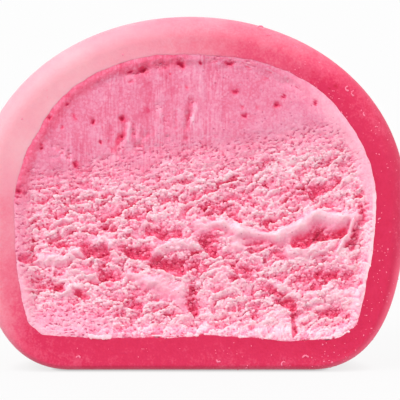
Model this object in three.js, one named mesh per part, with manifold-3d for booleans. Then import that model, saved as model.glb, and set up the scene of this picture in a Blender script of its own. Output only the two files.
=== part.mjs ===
// Half of a strawberry mochi ice cream: a dome of ice cream wrapped in a skin of
// soft rice dough, cut straight down through the middle and left standing on its
// flat base. The skin rolls over softly at the cut. The ice cream is smeared smooth
// by the blade near the top and torn into crags lower down.
//
// Millimetres, +Z up. X runs along the cut and the cut looks towards -Y. While the
// solids are made, y = 0 is the foremost plane of the skin. At the end the group is
// moved back, so that the origin is the middle of the base of the part's box.

import * as THREE from "three";
import { ImprovedNoise } from "three/addons/math/ImprovedNoise.js";
import { mergeVertices } from "three/addons/utils/BufferGeometryUtils.js";
import Module from "manifold-3d";

// Outline of the cut, from the crown to the middle of the base, on one side.
const height = 37.7;
const halfWidth = 23;
const widestHeight = 18.3; // height of the widest point above the table
const crownReach = 13; // how far the crown stays nearly level
const shoulderRise = 10.8; // how far the side stays upright above the widest point
const flankDrop = 10.4; // and below it
const flatHalfWidth = 12.8; // half of the flat that it stands on
const flatSides = 3; // the flat's straight sides behind the cut, so that it stands firm
const footClear = 0.1; // least height of the points of the outline above that flat
const footReach = 7.7; // roundness of the foot beside that flat

// The roll of the skin at the cut, and the half behind it.
const rollDepth = 2.5;
const rollWidth = 2.3; // width of the roll, seen from the front
const footRollWidth = 0.8; // the weight squares the roll off at the table
const backDepth = 20.7; // from the roll to the rearmost point
const depth = rollDepth + backDepth;

// Thickness of the skin on either side of the cut, by the way its surface faces:
// -90 degrees is straight down, 0 sideways and 90 straight up. The dough is thickest
// on the left and over the crown, and pressed thin round the foot.
const skinThickness = [
  { facing: -90, left: 3.7, right: 3.7 },
  { facing: -72, left: 3.65, right: 3.2 },
  { facing: -45, left: 3.2, right: 2.8 },
  { facing: 0, left: 4.4, right: 3.4 },
  { facing: 25, left: 4.65, right: 3.55 },
  { facing: 55, left: 3.95, right: 3.5 },
  { facing: 90, left: 4.1, right: 4.1 },
];
const gap = 0.3; // between the skin and the ice cream

// The face of the ice cream: how far it lies behind the foremost plane of the skin.
const smearedAbove = 27; // above this height the blade left it smooth
const tornBelow = 18; // and below this height it is fully torn
const smearedRecess = 0.6;
const tornRecess = 1.2;
const leastRecess = 0.1;
const rowSlope = 0.35; // the rows of lumps rise to the right
const lumps = [
  { rise: 0.85, length: 3, width: 1.7 },
  { rise: 0.55, length: 1.5, width: 1.1 },
];

// Crags: each runs between two points of the face, given as x and height, and rises
// out of it, or sinks into it where its rise is negative. It fades slowly upwards and
// breaks off short downwards.
const crags = [
  { name: "long ridge, left end", from: [0.5, 16], to: [9, 14.6], reach: 0.9, rise: 0.6 },
  { name: "long ridge, right end", from: [9, 14.6], to: [18, 17], reach: 1.1, rise: 0.7 },
  { name: "hollow under the ridge", from: [11.5, 13.6], to: [16, 14.8], reach: 1, rise: -1.2 },
  { name: "trough above the ridge", from: [3.8, 17.4], to: [9, 16.4], reach: 0.7, rise: -0.5 },
  { name: "spur", from: [17.2, 15.6], to: [15.6, 12.2], reach: 0.6, rise: 0.5 },
  { name: "crack beside the spur", from: [18.2, 15.6], to: [17.2, 11.8], reach: 0.7, rise: -0.8 },
  { name: "step under the hollow", from: [12.2, 12.6], to: [15.4, 13.2], reach: 0.7, rise: 0.4 },
  { name: "right pits", from: [12.6, 10.4], to: [15.2, 10], reach: 0.8, rise: -0.8 },
  { name: "right shoulder", from: [13.8, 7.6], to: [17.6, 8.6], reach: 1.2, rise: 0.6 },
  { name: "deep pit", from: [8.6, 8.5], to: [10.6, 7], reach: 0.8, rise: -1.1 },
  { name: "foot lump", from: [7.2, 5.4], to: [10.2, 6], reach: 1.1, rise: 0.6 },
  { name: "foot crack", from: [10.9, 6.2], to: [11.1, 4.4], reach: 0.6, rise: -0.8 },
  { name: "upper hollow", from: [2, 13.8], to: [3.2, 12.4], reach: 0.9, rise: -0.8 },
  { name: "middle crack", from: [0.3, 12.6], to: [0.4, 6.4], reach: 0.65, rise: -0.8 },
  { name: "middle pit", from: [-3.6, 11.8], to: [-0.8, 11.4], reach: 1, rise: -1.1 },
  { name: "brow over the pit", from: [-4, 13.7], to: [0, 13.9], reach: 0.7, rise: 0.4 },
  { name: "smooth flow", from: [-6.6, 10.8], to: [-1.4, 9.2], reach: 1.1, rise: 0.5 },
  { name: "left basin", from: [-11.2, 12.8], to: [-8.4, 12.6], reach: 1, rise: -0.8 },
  { name: "middle basin", from: [-6.8, 12.6], to: [-4.6, 13], reach: 0.8, rise: -0.7 },
  { name: "left tongue", from: [-16, 11.8], to: [-11.8, 12.2], reach: 0.9, rise: 0.5 },
  { name: "left pit", from: [-17.6, 12.5], to: [-16.4, 12.1], reach: 0.7, rise: -0.9 },
  { name: "left crack", from: [-16.2, 9], to: [-12.8, 8.2], reach: 0.7, rise: -1.1 },
  { name: "lump under the crack", from: [-12.8, 8.9], to: [-11.8, 8.7], reach: 0.8, rise: 0.5 },
];

// Fineness of the solids.
const outlineSteps = 32;
const turnSteps = 30;
const rollSteps = 4;
const tornStep = 0.58;
const smearedStep = 1.2;

const wasm = await Module();
wasm.setup();
const { lerp, clamp, smoothstep, radToDeg } = THREE.MathUtils;

// The outline as evenly spaced points from the crown down to just above the flat, then
// the edge of the flat and its middle. Each has its distance from the axis, its height
// and its outward normal.
function outline() {
  const path = new THREE.Path();
  path.moveTo(0, height);
  path.bezierCurveTo(
    crownReach, height,
    halfWidth, widestHeight + shoulderRise,
    halfWidth, widestHeight,
  );
  path.bezierCurveTo(
    halfWidth, widestHeight - flankDrop,
    flatHalfWidth + footReach, 0,
    flatHalfWidth, 0,
  );
  path.lineTo(0, 0);
  const points = [
    ...path.getSpacedPoints(outlineSteps).filter((point) => point.y > footClear),
    new THREE.Vector2(flatHalfWidth, 0),
    new THREE.Vector2(0, 0),
  ];
  return points.map((point, i) => {
    if (i === 0) return { r: 0, z: height, out: new THREE.Vector2(0, 1) };
    if (i === points.length - 1) return { r: 0, z: 0, out: new THREE.Vector2(0, -1) };
    const along = points[i + 1].clone().sub(points[i - 1]).normalize();
    return { r: point.x, z: point.y, out: new THREE.Vector2(-along.y, along.x) };
  });
}

// Thickness of the skin where its surface faces this way in the outline. Share runs
// from 0 at the right-hand side of the cut to 1 at the left-hand side.
function thickness(out, share) {
  const facing = radToDeg(Math.atan2(out.y, out.x));
  const next = Math.max(1, skinThickness.findIndex((station) => station.facing >= facing));
  const [a, b] = [skinThickness[next - 1], skinThickness[next]];
  const blend = smoothstep(facing, a.facing, b.facing);
  return lerp(lerp(a.right, b.right, blend), lerp(a.left, b.left, blend), share);
}

// A point of the outline turned round the axis to the back, from 0 degrees at the
// right to 180 at the left, and moved inwards by the skin's thickness and a further
// inset, if one is given. The edge of the flat turns only by whole sides.
function turned(station, angle, inset = null) {
  const share = (1 - Math.cos(angle)) / 2;
  const inwards = inset === null ? 0 : thickness(station.out, share) + inset;
  const r = Math.max(0, station.r - station.out.x * inwards);
  const side = Math.PI / flatSides;
  const onFlat = inset === null && station.z === 0;
  const turn = onFlat ? Math.round(angle / side) * side : angle;
  return new THREE.Vector3(
    r * Math.cos(turn),
    rollDepth + (r * Math.sin(turn) * backDepth) / halfWidth,
    station.z - station.out.y * inwards,
  );
}

// A point on the roll of the skin: share runs from 0 at the outline to 1 at the
// foremost plane, and the section of the roll is a quarter of an ellipse.
function rolled(station, side, share) {
  const squareness = clamp(1 - station.z / widestHeight, 0, 1);
  const width = lerp(rollWidth, footRollWidth, squareness);
  const inwards = width * (1 - Math.cos((share * Math.PI) / 2));
  return new THREE.Vector3(
    side * Math.max(0, station.r - station.out.x * inwards),
    rollDepth * (1 - Math.sin((share * Math.PI) / 2)),
    station.z - station.out.y * inwards,
  );
}

// Joins closed loops of points, stacked from the top down, into a solid. The first
// and the last loop are folded flat, so they close it.
function solidFromLoops(loops) {
  const count = loops[0].length;
  const positions = loops.flat().flatMap((point) => point.toArray());
  const triangles = [];
  for (let row = 0; row + 1 < loops.length; row++) {
    for (let k = 0; k < count; k++) {
      const a = row * count + k;
      const b = row * count + ((k + 1) % count);
      triangles.push([a, a + count, b], [b, a + count, b + count]);
    }
  }
  const geometry = new THREE.BufferGeometry();
  geometry.setAttribute("position", new THREE.Float32BufferAttribute(positions, 3));
  geometry.setIndex(triangles.flat());
  const merged = mergeVertices(geometry, 1e-3);
  const whole = [];
  for (let i = 0; i < merged.index.count; i += 3) {
    const corners = [0, 1, 2].map((k) => merged.index.getX(i + k));
    if (new Set(corners).size === 3) whole.push(...corners);
  }
  return new wasm.Manifold(
    new wasm.Mesh({
      numProp: 3,
      vertProperties: merged.attributes.position.array,
      triVerts: new Uint32Array(whole),
    }),
  );
}

// The points of one loop behind the cut, from the right-hand side round to the left.
function backArc(station, inset) {
  const angles = Array.from({ length: turnSteps + 1 }, (_, k) => (k * Math.PI) / turnSteps);
  return angles.map((angle) => turned(station, angle, inset));
}

// The outside of the half, with its roll.
function outerHalf() {
  const steps = Array.from({ length: rollSteps }, (_, k) => (k + 1) / rollSteps);
  return solidFromLoops(
    outline().map((station) => [
      ...backArc(station),
      ...steps.map((share) => rolled(station, -1, share)),
      ...steps.toReversed().map((share) => rolled(station, 1, share)),
    ]),
  );
}

// The space inside the skin, shrunk by an inset and carried straight out through the
// front.
function innerHalf(inset) {
  const forward = new THREE.Vector3(0, -2 * rollDepth, 0);
  return solidFromLoops(
    outline().map((station) => {
      const arc = backArc(station, inset);
      return [...arc, arc.at(-1).clone().add(forward), arc[0].clone().add(forward)];
    }),
  );
}

// How far one crag lifts the face at a point.
function cragLift(crag, x, z) {
  const [x0, z0] = crag.from;
  const [runX, runZ] = [crag.to[0] - x0, crag.to[1] - z0];
  const share = clamp(((x - x0) * runX + (z - z0) * runZ) / (runX ** 2 + runZ ** 2), 0, 1);
  const [offX, offZ] = [x - x0 - share * runX, z - z0 - share * runZ];
  const reach = crag.reach * (offZ > 0 ? 1.25 : 0.8);
  return crag.rise * Math.exp(-(offX ** 2 + offZ ** 2) / reach ** 2);
}

// How far the face of the ice cream lies behind the foremost plane at a point.
const grain = new ImprovedNoise();
function faceRecess(x, z) {
  const torn = 1 - smoothstep(z, tornBelow, smearedAbove);
  const [along, across] = [x + rowSlope * z, z - rowSlope * x];
  const lift = lumps.reduce(
    (sum, lump, i) => sum + torn * lump.rise * grain.noise(along / lump.length, across / lump.width, i),
    crags.reduce((sum, crag) => sum + cragLift(crag, x, z), 0),
  );
  return Math.max(leastRecess, lerp(smearedRecess, tornRecess, torn) - lift);
}

// Heights of the rows of points on that face, closer together where it is torn.
function faceLevels() {
  const levels = [0];
  while (levels[0] < height) {
    const smeared = smoothstep(levels[0], tornBelow, smearedAbove);
    levels.unshift(Math.min(height, levels[0] + lerp(tornStep, smearedStep, smeared)));
  }
  return levels;
}

// A block whose front is the face of the ice cream.
function faceBlock() {
  const columns = Math.ceil((2 * halfWidth) / tornStep);
  const loops = faceLevels().map((z) => {
    const front = Array.from({ length: columns + 1 }, (_, k) => {
      const x = halfWidth * ((2 * k) / columns - 1);
      return new THREE.Vector3(x, faceRecess(x, z), z);
    });
    return [
      ...front,
      new THREE.Vector3(halfWidth, depth, z),
      new THREE.Vector3(-halfWidth, depth, z),
    ];
  });
  const folded = (loop) => loop.map((point) => new THREE.Vector3(0, depth / 2, point.z));
  return solidFromLoops([folded(loops[0]), ...loops, folded(loops.at(-1))]);
}

// A solid as a named mesh.
function node(name, solid, look) {
  const { vertProperties, triVerts } = solid.getMesh();
  const geometry = new THREE.BufferGeometry();
  geometry.setAttribute("position", new THREE.BufferAttribute(vertProperties, 3));
  geometry.setIndex(new THREE.BufferAttribute(triVerts, 1));
  geometry.computeVertexNormals();
  const mesh = new THREE.Mesh(geometry, new THREE.MeshStandardMaterial(look));
  mesh.name = name;
  return mesh;
}

const skin = outerHalf().subtract(innerHalf(0));
const iceCream = innerHalf(gap).intersect(faceBlock());

const mochi = new THREE.Group();
mochi.name = "mochi_ice_cream_half";
mochi.add(node("mochi_skin", skin, { color: 0xee6f90, roughness: 0.62, metalness: 0 }));
mochi.add(node("ice_cream", iceCream, { color: 0xf596b2, roughness: 0.85, metalness: 0 }));
mochi.position.y = -depth / 2;

export default mochi;
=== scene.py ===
# Half of a mochi ice cream, cut straight down and standing on its flat base.
# A soft pink rice-dough skin is wrapped round pink ice cream. The blade smeared the
# ice cream smooth near the top and tore it into crags lower down.
#
# Shapes are worked out in millimetres and put into the meshes in metres. X runs along
# the cut, the cut looks towards -Y and +Z is up, as in the frame.

import math
from types import SimpleNamespace

import bpy
import numpy as np
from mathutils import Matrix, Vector


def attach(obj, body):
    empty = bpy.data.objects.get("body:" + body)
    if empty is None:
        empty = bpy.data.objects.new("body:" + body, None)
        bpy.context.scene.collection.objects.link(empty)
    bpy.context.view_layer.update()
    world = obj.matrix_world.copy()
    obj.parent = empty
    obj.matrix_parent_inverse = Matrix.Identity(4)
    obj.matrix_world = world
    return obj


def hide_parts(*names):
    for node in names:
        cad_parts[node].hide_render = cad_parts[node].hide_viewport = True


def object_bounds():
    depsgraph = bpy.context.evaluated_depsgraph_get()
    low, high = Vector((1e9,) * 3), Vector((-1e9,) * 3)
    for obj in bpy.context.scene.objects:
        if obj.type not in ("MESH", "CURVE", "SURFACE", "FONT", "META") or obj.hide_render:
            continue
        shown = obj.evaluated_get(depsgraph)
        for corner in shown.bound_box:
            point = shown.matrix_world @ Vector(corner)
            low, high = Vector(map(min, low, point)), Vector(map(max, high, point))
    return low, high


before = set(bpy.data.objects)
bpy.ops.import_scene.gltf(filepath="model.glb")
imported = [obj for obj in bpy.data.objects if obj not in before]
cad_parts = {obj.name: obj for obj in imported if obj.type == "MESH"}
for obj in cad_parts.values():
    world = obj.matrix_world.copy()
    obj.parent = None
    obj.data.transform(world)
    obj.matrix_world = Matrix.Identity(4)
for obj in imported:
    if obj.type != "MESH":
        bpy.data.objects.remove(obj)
cadLow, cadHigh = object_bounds()
mm = 0.001
print("frame loaded")


def mix(a, b, share):
    # from a at share 0 to b at share 1, in a straight line
    return a + (b - a) * share


def smooth(value, low, high):
    # an S-curve from 0 at low to 1 at high: 3t^2 - 2t^3
    t = np.clip((value - low) / (high - low), 0, 1)
    return t * t * (3 - 2 * t)


def scatter(i, j, seed):
    # a repeatable draw between 0 and 1 for each whole-number cell, by mixing the bits
    # of the two cell numbers and the seed
    n = (i.astype(np.int64) * 374761393 + j.astype(np.int64) * 668265263 + seed * 974634777)
    n = (n ^ (n >> 13)) * 1274126177
    return ((n ^ (n >> 16)) & 0xFFFFFF) / float(0x1000000)


def ripple(x, y, seed):
    # smooth noise between -1 and 1: the draws at the four corners of each cell,
    # blended with S-curves
    i, j = np.floor(x), np.floor(y)
    u, v = smooth(x - i, 0, 1), smooth(y - j, 0, 1)
    low = mix(scatter(i, j, seed), scatter(i + 1, j, seed), u)
    high = mix(scatter(i, j + 1, seed), scatter(i + 1, j + 1, seed), u)
    return 2 * mix(low, high, v) - 1


def roughRipple(x, y, seed, octaves=3):
    # the sum of ripples, each half as large and half as high as the one before
    total = sum(ripple(x * 2**k, y * 2**k, seed + k) / 2**k for k in range(octaves))
    return total / (2 - 2 ** (1 - octaves))


def scoopShape(u, v):
    # A torn hollow inside the unit circle: shallow at its upper side and steep at its
    # lower side, with a raised rim just below it. Gives depth and rim, 0 to 1 each.
    far = np.sqrt(u**2 + v**2) + 1e-6
    down = -v / far
    depth = smooth((1 - far) / mix(1.0, 0.22, smooth(down, -0.6, 0.7)), 0, 1)
    rim = np.exp(-((far - 1.14) / 0.16) ** 2) * smooth(down, 0.0, 0.8)
    return depth, rim


def shelves(x, y, seed, wide=(0.5, 0.85), tall=(0.4, 0.85)):
    # Overlapping shelves with arched upper rims, one to a cell. Gives how far a point
    # lies under the nearest rim above it and over the nearest rim beneath it, in cells,
    # and a draw between 0 and 1 for the shelf that it lies on.
    i, j = np.floor(x), np.floor(y)
    under, over = np.full_like(x, 1.5), np.full_like(x, 1.5)
    pick = np.zeros_like(x)
    for di in (-1, 0, 1):
        for dj in (-2, -1, 0, 1, 2):
            ci, cj = i + di, j + dj
            cx = ci + 0.5 + 0.8 * (scatter(ci, cj, seed) - 0.5)
            cy = cj + 0.5 + 0.9 * (scatter(ci, cj, seed + 1) - 0.5)
            draw = scatter(ci, cj, seed + 2)
            u = (x - cx) / mix(wide[0], wide[1], draw)
            arch = mix(tall[0], tall[1], scatter(ci, cj, seed + 3))
            off = cy + arch * (np.sqrt(np.clip(1 - u**2, 0, 1)) - 0.5) - y
            inside = np.abs(u) < 1
            nearer = inside & (off >= 0) & (off < under)
            under = np.where(nearer, off, under)
            pick = np.where(nearer, draw, pick)
            over = np.where(inside & (off < 0) & (-off < over), -off, over)
    return under, over, pick


def pebbles(x, y, seed, spread=0.8, sizes=(0.55, 0.95), middle=0.45):
    # rounded grains packed side by side, one in each cell: the height of the tallest of
    # the nine nearest half-spheres, 0 between them, less the middle height
    i, j = np.floor(x), np.floor(y)
    top = np.zeros_like(x)
    for di in (-1, 0, 1):
        for dj in (-1, 0, 1):
            ci, cj = i + di, j + dj
            cx = ci + 0.5 + spread * (scatter(ci, cj, seed) - 0.5)
            cy = cj + 0.5 + spread * (scatter(ci, cj, seed + 1) - 0.5)
            size = mix(sizes[0], sizes[1], scatter(ci, cj, seed + 2))
            top = np.maximum(top, size**2 - (x - cx) ** 2 - (y - cy) ** 2)
    return np.sqrt(top) - middle


def gridPiece(name, points, material, attributes=None):
    # Rows of points, each row a closed loop seen anticlockwise from above, stacked
    # from the top down. Coincident points are merged, and a quad with two corners in
    # one place becomes a triangle.
    rows, columns = points.shape[:2]
    flat = np.round(points.reshape(-1, 3), 5)
    merged, first, index = np.unique(flat, axis=0, return_index=True, return_inverse=True)
    index = index.reshape(rows, columns)
    a, b = index[:-1], np.roll(index[:-1], -1, axis=1)
    c, d = np.roll(index[1:], -1, axis=1), index[1:]
    corners = np.stack([a, d, c, b], axis=-1).reshape(-1, 4)
    kept = corners != np.roll(corners, -1, axis=1)
    sides = kept.sum(axis=1)
    quads = corners[sides == 4]
    triangles = corners[sides == 3][kept[sides == 3]].reshape(-1, 3)
    values = {key: value.reshape(-1)[first] for key, value in (attributes or {}).items()}
    return newPiece(name, merged, quads, triangles, material, values)


def newPiece(name, points, quads, triangles, material, attributes=None):
    # a mesh from arrays of corners, shaded smooth
    mesh = bpy.data.meshes.new(name)
    mesh.vertices.add(len(points))
    mesh.vertices.foreach_set("co", (points * mm).ravel())
    corners = np.concatenate([quads.ravel(), triangles.ravel()]).astype(np.int32)
    mesh.loops.add(len(corners))
    mesh.loops.foreach_set("vertex_index", corners)
    starts = np.concatenate([np.arange(len(quads)) * 4,
                             len(quads) * 4 + np.arange(len(triangles)) * 3])
    mesh.polygons.add(len(starts))
    mesh.polygons.foreach_set("loop_start", starts.astype(np.int32))
    mesh.polygons.foreach_set("use_smooth", np.ones(len(starts), dtype=bool))
    for key, value in (attributes or {}).items():
        layer = mesh.attributes.new(key, "FLOAT", "POINT")
        layer.data.foreach_set("value", value.astype(np.float32))
    mesh.update(calc_edges=True)
    mesh.validate()
    mesh.materials.append(material)
    piece = bpy.data.objects.new(name, mesh)
    bpy.context.scene.collection.objects.link(piece)
    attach(piece, "root")
    return piece


outline = {
    "height": (cadHigh.z - cadLow.z) / mm,
    "halfWidth": (cadHigh.x - cadLow.x) / 2 / mm,
    "front": cadLow.y / mm,  # the foremost plane of the skin
    "depth": (cadHigh.y - cadLow.y) / mm,
    "widestHeight": 18.3,
    "crownReach": 13,  # how far the crown stays nearly level
    "shoulderRise": 10.8,  # how far the side stays upright above the widest point
    "flankDrop": 10.4,  # and below it
    "flatHalfWidth": 12.8,
    "footReach": 7.7,
}

# thickness of the skin in millimetres by the way its surface faces, in degrees: -90 is
# straight down, 0 sideways and 90 straight up
skinFacing = [-90, -72, -50, -34, -22, -12, 0, 15, 35, 55, 72, 82, 90]
skinLeft = [3.7, 3.65, 3.2, 3.25, 3.7, 4.1, 4.4, 4.65, 4.65, 3.95, 3.85, 3.95, 4.1]
skinRight = [3.7, 3.2, 2.9, 2.75, 3.2, 3.5, 3.4, 3.5, 3.6, 3.45, 3.75, 4.1, 4.1]


def bezier(points, t):
    # a cubic curve: the four points weighted by (1-t)^3, 3(1-t)^2 t, 3(1-t) t^2, t^3
    p = np.array(points, float)[:, None, :]
    s = 1 - t[:, None]
    t = t[:, None]
    return s**3 * p[0] + 3 * s * s * t * p[1] + 3 * s * t * t * p[2] + t**3 * p[3]


def halfOutline(count):
    # Evenly spaced stations from the crown to the middle of the base: distance from
    # the axis, height and outward normal. Two curves and a straight line.
    o = outline
    t = np.linspace(0, 1, 400)
    upper = bezier([(0, o["height"]), (o["crownReach"], o["height"]),
                    (o["halfWidth"], o["widestHeight"] + o["shoulderRise"]),
                    (o["halfWidth"], o["widestHeight"])], t)
    lower = bezier([(o["halfWidth"], o["widestHeight"]),
                    (o["halfWidth"], o["widestHeight"] - o["flankDrop"]),
                    (o["flatHalfWidth"] + o["footReach"], 0), (o["flatHalfWidth"], 0)], t)
    path = np.concatenate([upper, lower[1:], [(0, 0)]])
    length = np.concatenate([[0], np.cumsum(np.hypot(*np.diff(path, axis=0).T))])
    even = np.linspace(0, length[-1], count)
    r, z = np.interp(even, length, path[:, 0]), np.interp(even, length, path[:, 1])
    dr, dz = np.gradient(r), np.gradient(z)
    scale = np.hypot(dr, dz)
    nr, nz = -dz / scale, dr / scale
    nr[[0, -1]], nz[[0, -1]] = 0, (1, -1)
    return r, z, nr, nz


def skinThickness(nr, nz, share):
    # thickness where the surface faces this way, with share 0 at the right-hand side
    # of the cut and 1 at the left-hand side
    facing = np.degrees(np.arctan2(nz, nr))
    right = np.interp(facing, skinFacing, skinRight)
    left = np.interp(facing, skinFacing, skinLeft)
    return mix(right, left, share)


def linear(*rgb):
    # 0-255 screen colour to the shader's linear colour
    c = np.array(rgb) / 255
    return (*np.where(c <= 0.04045, c / 12.92, ((c + 0.055) / 1.055) ** 2.4), 1)


class Nodes:
    # a short way to place shader nodes and join them
    def __init__(self, tree):
        self.tree = tree

    def feed(self, node, inputs):
        # joins each input to an output, or gives it a value
        for key, value in inputs.items():
            socket = node.inputs[key]
            if isinstance(value, bpy.types.NodeSocket):
                self.tree.links.new(value, socket)
            else:
                socket.default_value = value
        return node

    def add(self, kind, inputs=None, **settings):
        # a new node with its settings and its inputs fed
        node = self.tree.nodes.new(kind)
        for key, value in settings.items():
            setattr(node, key, value)
        return self.feed(node, inputs or {})

    def attribute(self, name):
        # the value that the mesh carries under this name
        return self.add("ShaderNodeAttribute", attribute_name=name).outputs["Fac"]

    def noise(self, place, size, detail):
        # smooth noise with waves of this size and as many finer layers as detail says
        node = self.add("ShaderNodeTexNoise", {"Vector": place, "Scale": 1 / size, "Detail": detail})
        return node.outputs["Fac"]

    def cells(self, place, size):
        # cells of this size round scattered points: distance to the point, own colour
        return self.add("ShaderNodeTexVoronoi", {"Vector": place, "Scale": 1 / size})

    def vector(self, operation, a, b):
        return self.add("ShaderNodeVectorMath", {0: a, 1: b}, operation=operation).outputs[0]

    def bump(self, strength, distance, height):
        # leans the shading by the slope of a height, as if it were this far from 0 to 1
        node = self.add("ShaderNodeBump", {"Strength": strength, "Distance": distance, "Height": height})
        return node.outputs["Normal"]

    def ramp(self, value, stops):
        # a colour between the two stops on either side of the value
        node = self.add("ShaderNodeValToRGB", {"Fac": value})
        elements = node.color_ramp.elements
        while len(elements) < len(stops):
            elements.new(0.5)
        for element, (place, colour) in zip(elements, stops):
            element.position, element.color = place, colour
        return node.outputs["Color"]

    def range(self, value, low, high, toLow=0.0, toHigh=1.0):
        # from toLow at low to toHigh at high in a straight line, and no further
        node = self.add("ShaderNodeMapRange", {"Value": value, "From Min": low,
                        "From Max": high, "To Min": toLow, "To Max": toHigh})
        return node.outputs["Result"]

    def math(self, operation, a, b):
        return self.add("ShaderNodeMath", {0: a, 1: b}, operation=operation).outputs[0]

    def blend(self, share, a, b, kind="MIX"):
        # Colour a at share 0 and b at share 1, or a times b. The colour sockets of the
        # node are found by number: a, b and the result.
        node = self.add("ShaderNodeMix", {"Factor": share, 6: a, 7: b}, data_type="RGBA", blend_type=kind)
        return node.outputs[2]


def newMaterial(name):
    # a material, its nodes and the shader that it starts with
    material = bpy.data.materials.new(name)
    material.use_nodes = True
    nodes = Nodes(material.node_tree)
    shader = material.node_tree.nodes["Principled BSDF"]
    return material, nodes, shader


def skinMaterial():
    # Deep rose where nothing lies on the dough, pale where starch and frost do and, as a painted
    # highlight, where the dough faces the upper left, towards the key light.
    look = {
        "stops": [(0.0, (204, 25, 74)), (0.3, (213, 39, 85)), (0.5, (224, 79, 113)),
                  (0.66, (228, 114, 138)), (0.8, (230, 142, 160)), (1.0, (232, 168, 179))],
        # the brighter rose here is a painted rim light for the lower right edge
        "spot": linear(190, 10, 50), "paintedRimLight": linear(255, 96, 132),
        "cloud": 0.0045, "fleck": 0.0009, "grain": 0.00022,  # sizes in metres
    }
    material, nodes, shader = newMaterial("rice dough")
    place = nodes.add("ShaderNodeTexCoord").outputs["Object"]
    starchAndLight, spot, paintedRimLight = (nodes.attribute(name) for name in ("starchAndLight", "spot", "paintedRimLight"))
    cloud = nodes.noise(place, look["cloud"], 3)
    fleck = nodes.noise(place, look["fleck"], 4)
    grain = nodes.noise(place, look["grain"], 2)
    shade = nodes.math("ADD", starchAndLight, nodes.range(cloud, 0.3, 0.7, -0.05, 0.05))
    mottle = nodes.math("ADD", nodes.range(fleck, 0.3, 0.7, -0.08, 0.08),
                        nodes.range(grain, 0.3, 0.7, -0.08, 0.08))
    mottle = nodes.math("MULTIPLY", mottle, nodes.range(starchAndLight, 0.35, 0.85, 1.0, 0.2))
    shade = nodes.math("ADD", shade, mottle)
    colour = nodes.ramp(shade, [(at, linear(*rgb)) for at, rgb in look["stops"]])
    colour = nodes.blend(spot, colour, look["spot"])
    # painted rim light: a bright rose along the outermost edge at the lower right
    colour = nodes.blend(nodes.math("MULTIPLY", paintedRimLight, 0.85), colour, look["paintedRimLight"])
    height = nodes.math("ADD", fleck, nodes.math("MULTIPLY", grain, 0.5))
    nodes.feed(shader, {
        "Base Color": colour,
        "Roughness": nodes.range(grain, 0.3, 0.7, 0.5, 0.64),
        "Normal": nodes.bump(0.35, 0.00012, height),
        "Specular IOR Level": 0.28,
        "Subsurface Weight": 0.25,
        "Subsurface Radius": (1.0, 0.35, 0.3),
        "Subsurface Scale": 0.0012,
        "Sheen Weight": 0.08,
        "Sheen Roughness": 0.4,
    })
    return material


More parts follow.
